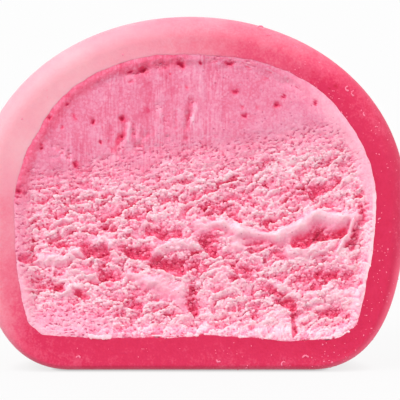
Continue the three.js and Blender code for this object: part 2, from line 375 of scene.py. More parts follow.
def creamTint():
    # A group that turns tone into colour, deep red-pink in hollows and pale on rims.
    # Grain sets how much the tone changes from one ice crystal to the next, Pores how
    # strong the painted shadows in the slits along the rows are, with a painted highlight
    # on the lip below each, and Smear how dull the blade left it. Rows holds the place
    # along and across the rows; Height is for the bump.
    look = {
        "holeShade": linear(200, 64, 108), "dark": linear(196, 28, 78), "deep": linear(232, 72, 113),
        "pit": linear(236, 95, 132), "under": linear(241, 117, 150), "body": linear(247, 147, 176),
        # the palest colour: frost, and the painted highlight on rims and crumb tops
        "edge": linear(252, 179, 199), "frostAndHighlight": linear(255, 207, 217),
        "smear": (0.85, 0.98, 0.975, 1),
        "crystal": 0.00028, "pits": 0.00042, "sand": 0.00022, "cloud": 0.0024,  # in metres
        "slit": (0.6, 0.46), "crook": 0.09,  # in millimetres
    }
    tree = bpy.data.node_groups.new("frozen cream tint", "ShaderNodeTree")
    sockets = {"Tone": "Float", "Grain": "Float", "Pores": "Float", "Smear": "Float", "Rows": "Vector"}
    for name, kind in sockets.items():
        tree.interface.new_socket(name, in_out="INPUT", socket_type="NodeSocket" + kind)
    tree.interface.new_socket("Color", in_out="OUTPUT", socket_type="NodeSocketColor")
    tree.interface.new_socket("Height", in_out="OUTPUT", socket_type="NodeSocketFloat")
    nodes = Nodes(tree)
    given, result = nodes.add("NodeGroupInput").outputs, nodes.add("NodeGroupOutput")
    place = nodes.add("ShaderNodeTexCoord").outputs["Object"]
    tone, deepness = given["Tone"], nodes.range(given["Tone"], 0.15, 0.75, 1.0, 0.25)
    # crystals: each has its own tone, the more the deeper they lie
    crystal = nodes.cells(place, look["crystal"])
    bulge = nodes.range(crystal.outputs["Distance"], 0.1, 0.75, 1.0, 0.0)
    own = nodes.add("ShaderNodeSeparateColor", {"Color": crystal.outputs["Color"]}).outputs["Red"]
    lively = nodes.math("ADD", nodes.range(own, 0.2, 0.95, -0.2, 0.42),
                        nodes.range(bulge, 0, 1, -0.16, 0.1))
    lively = nodes.math("MULTIPLY", lively, nodes.math("MULTIPLY", deepness, given["Grain"]))
    tone = nodes.math("ADD", tone, lively)
    # pits between them in most of the cells, and darker pinholes in a few, their darkness a painted shade
    pit = nodes.cells(place, look["pits"])
    own = nodes.add("ShaderNodeSeparateColor", {"Color": pit.outputs["Color"]}).outputs["Green"]
    pinhole = nodes.math("MULTIPLY", nodes.range(pit.outputs["Distance"], 0.12, 0.26, 1.0, 0.0),
                         nodes.range(own, 0.86, 0.96))
    pit = nodes.math("MULTIPLY", nodes.range(pit.outputs["Distance"], 0.2, 0.42, 1.0, 0.0),
                     nodes.range(own, 0.3, 0.5))
    pit = nodes.math("MULTIPLY", pit, nodes.range(given["Grain"], 0.3, 0.42))
    tone = nodes.math("SUBTRACT", tone, nodes.math("MULTIPLY", pit, 0.5))
    cloud = nodes.noise(place, look["cloud"], 3)
    tone = nodes.math("ADD", tone, nodes.range(cloud, 0.25, 0.75, -0.05, 0.05))
    sand = nodes.add("ShaderNodeTexNoise", {"Vector": place, "Scale": 1 / look["sand"], "Detail": 1})
    tone = nodes.math("ADD", tone, nodes.range(sand.outputs["Fac"], 0.3, 0.7, -0.06, 0.06))
    # slits: one to a cell of a net drawn out along the rows, each dark as a painted shadow
    # under the rim above, with a painted highlight on the lip below and painted shade over it
    sway = nodes.vector("SUBTRACT", sand.outputs["Color"], (0.5, 0.5, 0.5))
    sway = nodes.vector("MULTIPLY", sway, [4 * look["crook"]] * 3)
    rows = nodes.vector("ADD", given["Rows"], sway)
    rows = nodes.vector("MULTIPLY", rows, (1 / look["slit"][0], 1 / look["slit"][1], 0))
    net = nodes.add("ShaderNodeTexVoronoi", {"Vector": rows, "Scale": 1}, voronoi_dimensions="2D")
    draw = nodes.add("ShaderNodeSeparateColor", {"Color": net.outputs["Color"]})
    off = nodes.vector("SUBTRACT", rows, net.outputs["Position"])
    pores = nodes.math("MULTIPLY", given["Pores"], nodes.range(draw.outputs["Red"], 0.1, 0.5))

    def oval(shift, halfWidth, halfHeight):
        # a soft oval in each cell where there is a pore, moved down by shift
        scaled = nodes.vector("MULTIPLY", nodes.vector("ADD", off, (0, shift, 0)),
                              (1 / halfWidth, 1 / halfHeight, 0))
        length = nodes.add("ShaderNodeVectorMath", {0: scaled}, operation="LENGTH").outputs["Value"]
        return nodes.math("MULTIPLY", nodes.range(length, 0.5, 1.15, 1.0, 0.0), pores)

    slit, lip, over = oval(0.0, 0.38, 0.17), oval(0.36, 0.5, 0.25), oval(-0.25, 0.5, 0.35)
    tone = nodes.math("ADD", tone, nodes.math("MULTIPLY", lip, 0.12))
    tone = nodes.math("SUBTRACT", tone, nodes.math("MULTIPLY", over, 0.12))
    colour = nodes.ramp(tone, [(0.0, look["deep"]), (0.13, look["pit"]), (0.3, look["under"]),
                               (0.5, look["body"]), (0.75, look["edge"]), (1.0, look["frostAndHighlight"])])
    # the slits and pinholes take the dark colour of painted shade
    slit = nodes.math("MAXIMUM", slit, nodes.math("MULTIPLY", pinhole, 0.8))
    colour = nodes.blend(nodes.math("MULTIPLY", slit, 0.8), colour, look["holeShade"])
    # darker still where the tone falls below 0, in the deepest painted shade
    colour = nodes.blend(nodes.range(tone, 0.0, -0.45), colour, look["dark"])
    colour = nodes.blend(given["Smear"], colour, look["smear"], "MULTIPLY")
    height = nodes.math("SUBTRACT", nodes.math("MULTIPLY", bulge, given["Grain"]), slit)
    height = nodes.math("SUBTRACT", height, pit)
    nodes.feed(result, {"Color": colour, "Height": height})
    return tree


def creamMaterial(tint):
    # colour by the tint group, with fine upright streaks that the blade left
    look = {"streak": (0.00022, 0.0022)}  # width and height, in metres
    material, nodes, shader = newMaterial("ice cream")
    along, across = nodes.attribute("along"), nodes.attribute("across")
    rows = nodes.add("ShaderNodeCombineXYZ", {"X": along, "Y": across})
    place = nodes.add("ShaderNodeTexCoord").outputs["Object"]
    drawn = nodes.vector("MULTIPLY", place, (1 / look["streak"][0], 0, 1 / look["streak"][1]))
    streaks = nodes.range(nodes.noise(drawn, 1, 2), 0.3, 0.7, -0.14, 0.14)
    streaks = nodes.math("MULTIPLY", streaks, nodes.attribute("streaked"))
    colour = nodes.add("ShaderNodeGroup", node_tree=tint)
    nodes.feed(colour, {
        "Tone": nodes.math("ADD", nodes.attribute("tone"), streaks),
        "Grain": nodes.attribute("grain"),
        "Smear": nodes.attribute("smear"),
        "Pores": nodes.attribute("pores"),
        "Rows": rows.outputs["Vector"],
    })
    nodes.feed(shader, {
        "Base Color": colour.outputs["Color"],
        "Roughness": 0.7,
        "Normal": nodes.bump(0.45, 0.0001, colour.outputs["Height"]),
        "Specular IOR Level": 0.25,
        "Subsurface Weight": 0.3,
        "Subsurface Radius": (1.0, 0.3, 0.3),
        "Subsurface Scale": 0.0003,
    })
    return material


def crumbMaterial(tint):
    # the same cream in bits too small for light to spread in
    material, nodes, shader = newMaterial("ice cream crumbs")
    colour = nodes.add("ShaderNodeGroup", node_tree=tint)
    nodes.feed(colour, {"Tone": nodes.attribute("tone"), "Grain": 0.15})
    nodes.feed(shader, {"Base Color": colour.outputs["Color"], "Roughness": 0.85,
                        "Specular IOR Level": 0.1})
    return material


def speckMaterial():
    # starch and frost, paler than the dough
    material, nodes, shader = newMaterial("starch")
    nodes.feed(shader, {"Base Color": linear(244, 132, 162), "Roughness": 0.8, "Specular IOR Level": 0.2})
    return material


dough = skinMaterial()
tint = creamTint()
cream = creamMaterial(tint)
crumb = crumbMaterial(tint)
starch = speckMaterial()
print("materials made")


skin = {
    "stations": 230,
    "backSteps": 120,
    "rollSteps": 14,
    "stripSteps": 10,
    "lipSteps": 5,
    "cavitySteps": 40,
    "rollDepth": 2.5,
    "rollWidth": 2.3,
    "footRollWidth": 0.8,  # the weight squares the roll off at the table
    "lipRadius": 0.04,
    "play": 0.05,  # how much wider the hollow is behind the lip
    "wallDepth": 3.0,
    "unevenness": 0.13,
    "unevenSize": 1.1,
    "dish": 0.01,  # how far the cut of the dough is hollowed between roll and lip
    # where the skin under the cream is thicker or thinner at the cut: x, by how much, reach
    "wavers": [(-13.2, 0.2, 2.2), (1.8, 0.3, 2.4), (10.6, -0.35, 2.6)],
    # the dough is palest where its outside faces this way, towards the key light: a painted highlight on
    # top of the starch
    "paintedLightFrom": (-0.75, 0.66),
    "facing": [-1, -0.55, -0.26, 0.05, 0.28, 0.5, 0.66, 0.8, 0.9, 1.0],
    "paleness": [0.28, 0.32, 0.38, 0.47, 0.6, 0.71, 0.79, 0.89, 0.95, 1.0],
    "spots": [(15.3, 30.3, 0.26), (14.6, 30.1, 0.14)],  # dark berry specks: x, height, size
}


def backArc(r, z, nr, nz, inset, angles):
    # stations turned about the axis to the back and moved inwards: an ellipse in plan
    share = (1 - np.cos(angles)) / 2
    inwards = inset(share)
    rr = np.maximum(0, r - nr * inwards)
    flatness = (outline["depth"] - skin["rollDepth"]) / outline["halfWidth"]
    return np.stack([rr * np.cos(angles),
                     skin["rollDepth"] + rr * np.sin(angles) * flatness,
                     z - nz * inwards], axis=-1)


def waver(x):
    # how much thicker than usual the skin is under the cream: a sum of bell curves
    return sum(size * np.exp(-(((x - at) / reach) ** 2)) for at, size, reach in skin["wavers"])


def edgeSection(r, z, nr, nz, side):
    # The section of the skin at the cut, from the silhouette forward over the roll,
    # inwards along the cut, round the lip and back along the wall. Inset is the
    # distance from the silhouette along the surface's normal, and y the depth behind
    # the foremost plane.
    s = skin
    full = skinThickness(nr, nz, 0.0 if side > 0 else 1.0)
    full = full + s["unevenness"] * roughRipple(side * r / s["unevenSize"], z / s["unevenSize"], 52, 4)
    full = full + waver(side * r) * smooth(-nz, 0.85, 0.99)
    squareness = np.clip(1 - z / outline["widestHeight"], 0, 1)
    width = mix(s["rollWidth"], s["footRollWidth"], squareness)
    turn = np.linspace(0, np.pi / 2, s["rollSteps"] + 1)[None, 1:]
    rollInset, rollY = width * (1 - np.cos(turn)), s["rollDepth"] * (1 - np.sin(turn))
    share = np.linspace(0, 1, s["stripSteps"] + 1)[None, 1:]
    flatInset = mix(width, full - s["lipRadius"], share)
    flatY = s["dish"] * np.sin(np.pi * share) * np.ones_like(full)
    turn = np.linspace(0, np.pi / 2, s["lipSteps"] + 1)[None, 1:]
    lipInset = full - s["lipRadius"] * (1 - np.sin(turn))
    lipY = s["lipRadius"] * (1 - np.cos(turn)) * np.ones_like(full)
    wallInset, wallY = full + s["play"], np.full_like(full, s["wallDepth"])
    inset = np.concatenate([rollInset, flatInset, lipInset, wallInset], axis=1)
    y = np.concatenate([rollY * np.ones_like(full), flatY, lipY, wallY], axis=1)
    x = side * np.maximum(0, r - nr * inset)
    return np.stack([x, y, z - nz * inset], axis=-1)


def lowRight(x, z):
    # 1 at the lower right of the cut, fading out upwards and to the left
    return smooth(x, 12, 18) * smooth(15 - z, 0, 5)


def starchAndLightOver(points, normalX, normalZ, inwards):
    # How pale the dough is, partly starch and partly a painted highlight: by how far its
    # outside faces the upper left, where the key light comes from, less further in along
    # the cut, paler along the outermost edge at the lower right as a painted rim light,
    # with broad clouds.
    facing = skin["paintedLightFrom"][0] * normalX + skin["paintedLightFrom"][1] * normalZ
    pale = np.interp(facing, skin["facing"], skin["paleness"])
    x, y, z = np.moveaxis(points, -1, 0)
    inner = smooth(inwards, 0.1, 3.6) * (0.07 + 0.1 * smooth(x, -2, 9))
    lowLeft = 0.06 * smooth(-x, 8, 18) * smooth(14 - z, 0, 8)
    lowLeft = lowLeft - 0.14 * smooth(inwards, 1.0, 2.6) * smooth(-x, 12, 18) * smooth(15 - z, 0, 6)
    rim = 0.07 * smooth(facing, 0.5, 0.9) * (1 - smooth(inwards, 0.2, 1.2))
    # painted rim light: paler along the outermost edge at the lower right
    rim = rim - 0.1 * lowRight(x, z) * (1 - smooth(inwards, 0.3, 1.1))
    clouds = 0.04 * roughRipple((x + 0.7 * y) / 3.5, (z - 0.4 * y) / 3.5, 51)
    return np.clip(pale - inner - rim + lowLeft + clouds, 0, 1)


def paintedRimLightOver(points, inwards):
    # How strong the painted rim light is along the outermost millimetre of the cut at the
    # lower right, in streaks along the edge.
    x, y, z = np.moveaxis(points, -1, 0)
    edge = (1 - smooth(inwards, 0.3, 1.2)) * (1 - smooth(y, 1.0, 3.0))
    streaks = 0.75 + 0.25 * roughRipple(inwards / 0.35, z / 2.5, 53)
    return np.clip(edge * lowRight(x, z) * streaks, 0, 1)


def skinPiece():
    # The shell of dough. Inwards is how far a point of the cut lies from the silhouette.
    r, z, nr, nz = (v[:, None] for v in halfOutline(skin["stations"]))
    right = edgeSection(r, z, nr, nz, 1)
    left = edgeSection(r, z, nr, nz, -1)
    # the outside, the two sections at the cut and the hollow between them, as one ring
    outside = backArc(r, z, nr, nz, lambda share: 0 * share,
                      np.linspace(0, np.pi, skin["backSteps"] + 1)[None, :])
    cavity = backArc(r, z, nr, nz, lambda share: skinThickness(nr, nz, share) + skin["play"],
                     np.linspace(np.pi, 0, skin["cavitySteps"] + 1)[None, :])
    cavity[..., 1] += skin["wallDepth"] - skin["rollDepth"]
    points = np.concatenate([outside, left, cavity[:, 1:-1], right[:, ::-1]], axis=1)
    turned = [outside.shape[1], left.shape[1], cavity.shape[1] - 2, right.shape[1]]
    around = np.concatenate([np.cos(np.linspace(0, np.pi, turned[0])), np.full(turned[1], -1.0),
                             np.linspace(-1, 1, turned[2]), np.ones(turned[3])])[None, :]
    inwards = np.hypot(np.abs(points[..., 0]) - r * np.abs(around), points[..., 2] - z)
    inwards = inwards * (np.arange(points.shape[1]) >= turned[0])[None, :]
    # paleness from starch and from a painted highlight towards the upper left
    starchAndLight = starchAndLightOver(points, nr * around, nz * np.ones_like(around), inwards)
    # a painted rim light along the lower right edge
    paintedRimLight = paintedRimLightOver(points, inwards)
    points[..., 1] += outline["front"]
    spot = np.zeros_like(starchAndLight)
    for x, height, size in skin["spots"]:
        off = np.hypot(points[..., 0] - x, points[..., 2] - height)
        spot = np.maximum(spot, (1 - smooth(off, 0.5 * size, 1.2 * size)) * (points[..., 1] < 0))
    piece = gridPiece("mochi_skin_dough", points, dough,
                      {"starchAndLight": starchAndLight, "paintedRimLight": paintedRimLight, "spot": 0.8 * spot})
    return piece, points


doughSkin, skinGrid = skinPiece()
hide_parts("mochi_skin")
print("skin made:", len(doughSkin.data.polygons), "faces")


face = {
    "columns": 330,
    "tornStep": 0.113,
    "smearedStep": 0.2,
    "backSteps": 22,
    "tuck": 0.2,  # how far it reaches into the skin
    "smearedAbove": 25.4,
    "tornBelow": 18.9,
    "tearSlope": 0.16,  # the torn part reaches higher on the right
    "rowSlopes": (0.2, 0.42),  # rows of pores rise to the right: at the left, at the right
    "recessLeft": 0.35,
    "recessRight": 0.2,
    "tornRecess": 1.1,
    "leastRecess": 0.02,
    "lean": 0.45,  # how far what stands out leans upwards over the hollow above it
    # shelves: share of the tear where they start and are full, cell along and across the
    # rows, seed, drop, and how much the painted highlight on the rim and the painted shade
    # down the slope and in the gap change the tone
    "shelves": [(0.62, 0.92, 2.1, 1.15, 101, 0.28, 0.05, 0.5, 0.12),
                (0.28, 0.7, 1.15, 0.66, 111, 0.12, 0.04, 0.3, 0.15),
                (0.12, 0.4, 0.74, 0.42, 121, 0.06, 0.06, 0.16, 0.12)],
    # billows, clumps, banks and grains: shape, size along and across the rows, seed with
    # the octaves of a ripple, share of the tear where they start and are full, lift, tone
    "layers": [(roughRipple, 2.2, 1.3, (61, 3), 0.3, 1.0, 0.12, 0),
               (pebbles, 1.15, 0.95, (31,), 0.3, 0.8, 0.18, 0.18),
               (roughRipple, 3.0, 1.0, (63, 2), 0.25, 0.75, 0.08, 0.13),
               (pebbles, 0.56, 0.48, (41,), 0.3, 0.85, 0.18, 0.2)],
    "crestTones": (0.72, 0.86),  # of the sleek slopes at the crest, left and right
    "slopeTone": 0.4,  # and at their foot
    # width and height of the blade's streaks, of stains and of blots, and their tones
    "streaks": (0.9, 5.5), "streakTone": 0.08, "streakLift": 0.05,
    "stains": (1.6, 3.2), "stainTone": 0.14,
    "blots": (2.6, 2.0), "blotTone": 0.06,
    # tones at the joint: drawn out smooth, pale at the left, the painted shadow of the lip,
    # the painted highlight line and the clean
    "drawnTone": 0.62, "paleTone": 0.78, "lipShadowTone": 0.2, "highlightLineTone": 0.45, "cleanTone": 0.12,
    "grains": (0.3, 0.42),  # how grainy the smeared and the torn part are
    "backStart": 3,  # how far behind the front the round back starts
    "backFlatness": 0.88,
    "underStart": 6,  # and where its underside closes
    "lowest": 3.55,  # height of the lowest row of the grid
    "crownRows": 25,  # rows over the top three millimetres, closer and closer
    # places in the smeared part where the cream tore all the same: a line, reach, share
    "ragged": [(-6.2, 25.6, -7.3, 23.0, 0.6, 0.55), (-4.9, 24.9, -5.6, 23.2, 0.6, 0.4),
               (-15.2, 23.8, -12.8, 23.0, 0.7, 0.35), (-7.8, 31.5, -1.6, 32.9, 0.45, 0.5),
               (-1.6, 32.9, 3.0, 33.2, 0.4, 0.4), (3.0, 33.0, 6.5, 32.6, 0.45, 0.3),
               (8.5, 31.4, 10.5, 30.6, 0.4, 0.2),
               (-3.4, 28.0, -2.2, 25.0, 0.5, 0.22), (0.2, 28.5, -0.6, 26.0, 0.35, 0.3)],
}

# Crags: start x and height, end x and height, reach, rise, smoothness of the top.
ridges = [
    (0.6, 15.5, 3.4, 15.5, 0.45, 0.45, 0.8), (3.4, 15.5, 5.4, 14.9, 0.5, 0.5, 0.8),
    (5.4, 14.9, 9.2, 14.4, 0.5, 0.6, 0.9), (9.2, 14.4, 11.6, 15.4, 0.55, 0.65, 0.9),
    (11.6, 15.4, 13.4, 16.3, 0.6, 0.65, 0.9), (13.4, 16.3, 16.0, 16.1, 0.6, 0.65, 0.9),
    (16.0, 16.1, 18.0, 16.8, 0.5, 0.6, 0.8), (5.1, 15.2, 5.1, 13.4, 0.5, 0.45, 0.85),
    (17.3, 15.9, 16.6, 13.9, 0.28, 0.8, 0.8), (16.6, 13.9, 15.6, 12.4, 0.28, 0.75, 0.8),
    (10.6, 12.9, 13.0, 12.7, 0.5, 0.5, 0.5), (13.0, 12.7, 15.1, 13.3, 0.45, 0.45, 0.5),
    (-8.3, 13.3, -7.6, 12.0, 0.45, 0.5, 0.3), (-4.9, 11.6, -3.2, 13.0, 0.3, 0.5, 0.4),
    (8.9, 9.1, 10.2, 9.3, 0.55, 0.5, 0.3), (14.8, 11.6, 16.5, 11.2, 0.55, 0.4, 0.3),
    (13.6, 8.2, 17.8, 8.0, 0.8, 0.5, 0.3), (7.6, 5.3, 10.0, 5.2, 0.9, 0.6, 0.3),
    (3.3, 10.6, 4.0, 9.0, 0.7, 0.4, 0.3), (1.9, 8.6, 1.9, 4.8, 0.6, 0.35, 0.3),
    (18.8, 17.0, 18.8, 10.9, 0.8, 0.4, 0.2), (10.6, 8.0, 13.0, 7.8, 0.6, 0.35, 0.2),
    (-14.1, 15.9, -12.9, 15.9, 0.35, 0.35, 0.3), (-16.3, 11.7, -11.6, 12.4, 0.55, 0.5, 0.5),
    (-13.2, 10.6, -10.1, 10.6, 0.4, 0.4, 0.4), (-10.7, 14.0, -8.2, 13.9, 0.4, 0.4, 0.3),
    (-5.9, 15.8, -4.8, 15.8, 0.4, 0.3, 0.3), (-6.6, 10.5, -4.0, 9.6, 0.42, 0.4, 0.8),
    (-4.0, 9.6, -1.2, 8.5, 0.6, 0.35, 0.8), (-3.2, 10.3, -1.6, 10.7, 0.3, 0.35, 0.7),
    (-3.7, 13.6, 0.2, 13.7, 0.45, 0.45, 0.4), (-12.6, 8.8, -11.7, 8.7, 0.5, 0.45, 0.4),
    (-15.5, 5.0, -8.5, 4.8, 0.9, 0.15, 0.2), (-0.8, 9.6, -0.6, 5.6, 0.6, 0.35, 0.3),
]

# Hollows between them: start, end, reach, depth.
hollows = [
    (-17.8, 12.2, -16.7, 12.1, 0.5, 0.7), (-16.8, 9.6, -13.6, 9.0, 0.5, 0.9),
    (-11.9, 8.5, -11.3, 8.0, 0.5, 0.8), (-11.0, 12.9, -9.2, 12.7, 0.7, 0.7),
    (-9.5, 10.6, -8.6, 9.6, 0.6, 0.6), (-6.4, 12.9, -4.9, 12.6, 0.65, 0.75),
    (-3.6, 11.7, -1.1, 11.0, 0.8, 1.0), (-4.1, 15.0, -1.5, 14.6, 0.55, 0.55),
    (0.4, 13.0, 0.8, 10.9, 0.45, 0.6), (0.2, 8.6, 0.4, 6.0, 0.4, 0.8), (-6.8, 7.1, -5.4, 6.9, 0.35, 0.6),
    (-14.8, 13.5, -13.2, 13.2, 0.4, 0.5), (-8.9, 15.0, -7.8, 14.8, 0.35, 0.4),
    (11.6, 14.1, 13.8, 14.4, 0.75, 1.1), (13.8, 14.4, 16.2, 14.7, 0.6, 0.8),
    (17.8, 14.7, 17.3, 13.2, 0.45, 0.5), (18.3, 17.2, 18.4, 16.4, 0.38, 0.6),
    (8.6, 8.6, 9.2, 8.2, 0.4, 0.7), (10.0, 7.4, 10.8, 6.9, 0.6, 1.1), (10.7, 5.9, 10.8, 4.5, 0.35, 0.7),
    (6.3, 6.6, 6.7, 5.9, 0.4, 0.6), (4.8, 11.3, 6.4, 10.3, 0.7, 0.6), (1.7, 14.2, 2.4, 12.6, 0.6, 0.8),
    (13.6, 10.4, 15.1, 10.0, 0.45, 0.6), (14.5, 6.5, 16.4, 6.0, 0.4, 0.5),
    (12.5, 6.6, 13.7, 6.4, 0.35, 0.5), (4.3, 16.9, 5.2, 16.3, 0.5, 0.6), (1.3, 16.6, 2.1, 16.3, 0.4, 0.5),
    (7.8, 15.8, 9.0, 15.5, 0.4, 0.5),
]

# Broad patches that lie deeper and redder (positive) or higher and paler (negative),
# the redness a painted shade and the paleness a painted light: start, end, reach, share.
patches = [
    (-11.0, 12.9, -9.2, 12.8, 0.75, 0.8), (-6.3, 12.8, -4.9, 12.7, 0.65, 0.9),
    (-3.6, 11.9, -1.8, 11.3, 0.95, 0.9), (2.0, 14.4, 2.6, 12.8, 0.8, 0.9),
    (0.0, 11.6, 0.6, 10.6, 0.6, 0.6), (1.6, 17.1, 3.6, 17.3, 0.55, 0.8), (4.9, 17.4, 6.6, 18.0, 0.5, 0.6),
    (10.6, 18.6, 13.0, 19.3, 0.8, 0.8), (13.0, 19.3, 15.6, 20.2, 0.6, 0.5),
    (3.6, 19.6, 8.2, 22.2, 0.35, 0.4), (5.5, 18.8, 9.5, 20.9, 0.35, 0.4),
    (-14.6, 13.1, -13.8, 13.0, 0.4, 0.5), (-9.4, 15.3, -8.4, 15.1, 0.4, 0.5),
    (-6.2, 15.8, -5.2, 15.6, 0.45, 0.5), (-3.0, 15.0, -1.4, 14.8, 0.55, 0.6),
    (-9.4, 10.5, -8.6, 10.1, 0.6, 0.6), (12.0, 14.3, 16.2, 15.0, 0.85, 0.9),
    (18.3, 17.1, 18.4, 16.0, 0.45, 1.0), (17.9, 14.6, 17.2, 12.9, 0.45, 0.7),
    (11.6, 9.9, 16.2, 9.9, 0.85, 0.8), (7.8, 8.8, 11.0, 6.4, 0.65, 0.7),
    (10.8, 6.4, 10.9, 4.6, 0.45, 0.6), (6.6, 7.8, 6.7, 6.4, 0.45, 0.6), (14.4, 6.6, 16.4, 6.2, 0.5, 0.5),
    (4.2, 10.4, 5.4, 9.8, 0.6, 0.6), (0.1, 8.6, 0.3, 6.4, 0.55, 0.7), (-6.2, 7.2, -5.6, 7.0, 0.4, 0.5),
    (6.2, 13.9, 9.0, 13.2, 0.9, 0.45), (-11.9, 8.4, -11.6, 8.2, 0.5, 0.6),
    (-16.6, 11.4, -12.0, 12.0, 0.8, -0.5), (-13.0, 10.6, -10.4, 10.2, 0.6, -0.4),
    (-11.4, 14.3, -8.8, 13.9, 0.3, -0.4), (-7.6, 14.1, -2.0, 13.7, 0.3, -0.4),
    (3.0, 15.9, 5.6, 15.2, 0.5, -0.5), (8.2, 7.2, 8.6, 5.4, 0.7, -0.5), (2.6, 9.8, 3.0, 6.0, 0.5, -0.3),
    (16.2, 12.6, 17.0, 11.2, 0.45, -0.4),
]

# Marks in the smeared part, of the same kind: pits, grooves and low smears.
marks = [
    (-17.7, 23.1, -17.6, 23.1, 0.16, -0.5), (-18.2, 19.3, -18.1, 19.3, 0.2, -0.5),
    (-18.3, 18.6, -18.2, 18.6, 0.13, -0.2), (-14.9, 27.0, -14.8, 27.0, 0.16, -0.4),
    (-15.8, 23.7, -15.7, 23.7, 0.13, -0.35), (-15.8, 24.1, -15.7, 24.1, 0.1, -0.25),
    (-6.4, 31.8, -6.3, 31.8, 0.16, -0.3), (-5.1, 32.0, -4.9, 32.0, 0.22, -0.45),
    (-5.7, 31.6, -5.6, 31.6, 0.1, -0.2), (-6.4, 30.8, -6.2, 30.8, 0.18, -0.25),
    (-1.3, 32.7, -0.9, 32.5, 0.22, -0.5), (-2.2, 31.6, -2.1, 31.6, 0.1, -0.2),
    (-0.4, 30.3, -0.4, 30.2, 0.18, -0.22), (1.0, 32.8, 1.1, 32.7, 0.16, -0.3),
    (3.8, 32.7, 4.3, 32.7, 0.18, -0.4), (6.0, 32.4, 6.1, 32.4, 0.1, -0.2),
    (4.6, 29.7, 4.8, 29.7, 0.18, -0.35), (5.4, 28.2, 5.4, 28.1, 0.13, -0.25),
    (5.6, 27.2, 5.8, 27.2, 0.18, -0.4), (7.0, 28.1, 7.0, 28.0, 0.1, -0.25),
    (9.0, 28.3, 9.1, 28.3, 0.2, -0.5), (9.8, 29.2, 9.9, 29.3, 0.16, -0.3),
    (13.1, 28.6, 13.1, 28.5, 0.16, -0.45), (11.2, 30.3, 11.2, 30.2, 0.09, -0.25),
    (8.1, 31.7, 8.4, 31.8, 0.1, -0.2), (7.8, 31.1, 8.0, 31.1, 0.12, -0.2),
    (-13.0, 28.5, -13.0, 28.4, 0.12, -0.3), (-12.3, 27.3, -12.1, 27.0, 0.22, -0.2),
    (-10.3, 26.6, -10.2, 26.6, 0.18, -0.5), (-7.2, 27.0, -7.2, 26.9, 0.22, -0.6),
    (-7.2, 25.1, -7.2, 25.0, 0.14, -0.4), (-13.6, 26.1, -13.6, 26.0, 0.14, -0.25),
    (-12.2, 22.2, -12.1, 21.9, 0.18, -0.4), (-9.5, 24.4, -9.5, 24.3, 0.14, -0.3),
    (-7.1, 26.7, -7.2, 25.0, 0.34, -0.15), (-7.3, 25.2, -8.1, 23.6, 0.38, -0.18),
    (-8.5, 26.3, -8.5, 24.6, 0.26, -0.12), (-6.5, 26.2, -6.6, 24.6, 0.24, 0.2),
    (-4.5, 30.6, -4.4, 27.6, 0.3, -0.08), (0.0, 29.1, -0.5, 24.8, 0.22, -0.14),
    (-1.6, 27.7, -1.5, 25.9, 0.16, -0.1), (-5.1, 25.9, -5.2, 25.1, 0.16, -0.1),
    (0.6, 28.1, 0.2, 26.5, 0.22, 0.12), (-3.2, 29.3, -3.3, 25.0, 0.45, 0.06),
    (1.2, 31.5, 1.3, 29.2, 0.3, 0.08),
]


def offLine(x, z, x0, z0, x1, z1):
    # how far a point lies from the nearest point of a short line, sideways and upwards
    runX, runZ = x1 - x0, z1 - z0
    share = np.clip(((x - x0) * runX + (z - z0) * runZ) / (runX**2 + runZ**2), 0, 1)
    return x - x0 - share * runX, z - z0 - share * runZ


def bell(offX, offZ, reach):
    # 1 in the middle and falling to 0 round it as a bell curve
    return np.exp(-(offX**2 + offZ**2) / reach**2)


def blurred(field, size):
    # the mean over a square of cells, by running sums along both axes
    for axis in (0, 1):
        padded = np.concatenate([np.take(field, [0] * size, axis), field,
                                 np.take(field, [-1] * size, axis)], axis)
        total = np.cumsum(padded, axis)
        total = np.concatenate([np.zeros_like(np.take(total, [0], axis)), total], axis)
        width, length = 2 * size + 1, field.shape[axis]
        high = np.take(total, np.arange(width, width + length), axis)
        low = np.take(total, np.arange(0, length), axis)
        field = (high - low) / width
    return field


def jointDistance(x, z):
    # how far a point of the cut lies from the joint with the skin: to the nearest of
    # many points along it
    nearest = np.full_like(x, 1e9)
    r, height, nr, nz = halfOutline(260)
    for side in (-1, 1):
        inwards = skinThickness(nr, nz, 0.0 if side > 0 else 1.0)
        for px, pz in zip(side * (r - nr * inwards), height - nz * inwards):
            np.minimum(nearest, (x - px) ** 2 + (z - pz) ** 2, out=nearest)
    return np.sqrt(nearest)


def tornShare(x, z):
    # how torn the face is: 0 where the blade smeared it, 1 in the crags. The blade also
    # smeared the lowest left corner and the strips beside the skin.
    f = face
    height = z - f["tearSlope"] * x + 0.9 * ripple(x / 5, z / 5, 11)
    height = height + 0.8 * roughRipple(x / 1.8, z / 0.9, 13)
    torn = 1 - smooth(height, f["tornBelow"], f["smearedAbove"])
    corner = smooth(8.2 - z, 0, 3) * smooth(-x, 5.5, 11)
    side = smooth(-x, 16.6, 17.8)
    torn = torn * (1 - np.maximum(0.65 * corner, 0.7 * side))
    broken = smooth(roughRipple(x / 0.8, z / 0.8, 12, 2), -0.3, 0.3)
    for x0, z0, x1, z1, reach, share in f["ragged"]:
        near = bell(*offLine(x, z, x0, z0, x1, z1), reach)
        torn = np.maximum(torn, share * broken * near)
    return torn


def bent(x, z, seed, fineSeed):
    # a wobble of two sizes that keeps every crag from being a plain line
    return 0.12 * ripple(x / 0.5, z / 0.5, seed) + 0.08 * ripple(x / 0.26, z / 0.26, fineSeed)


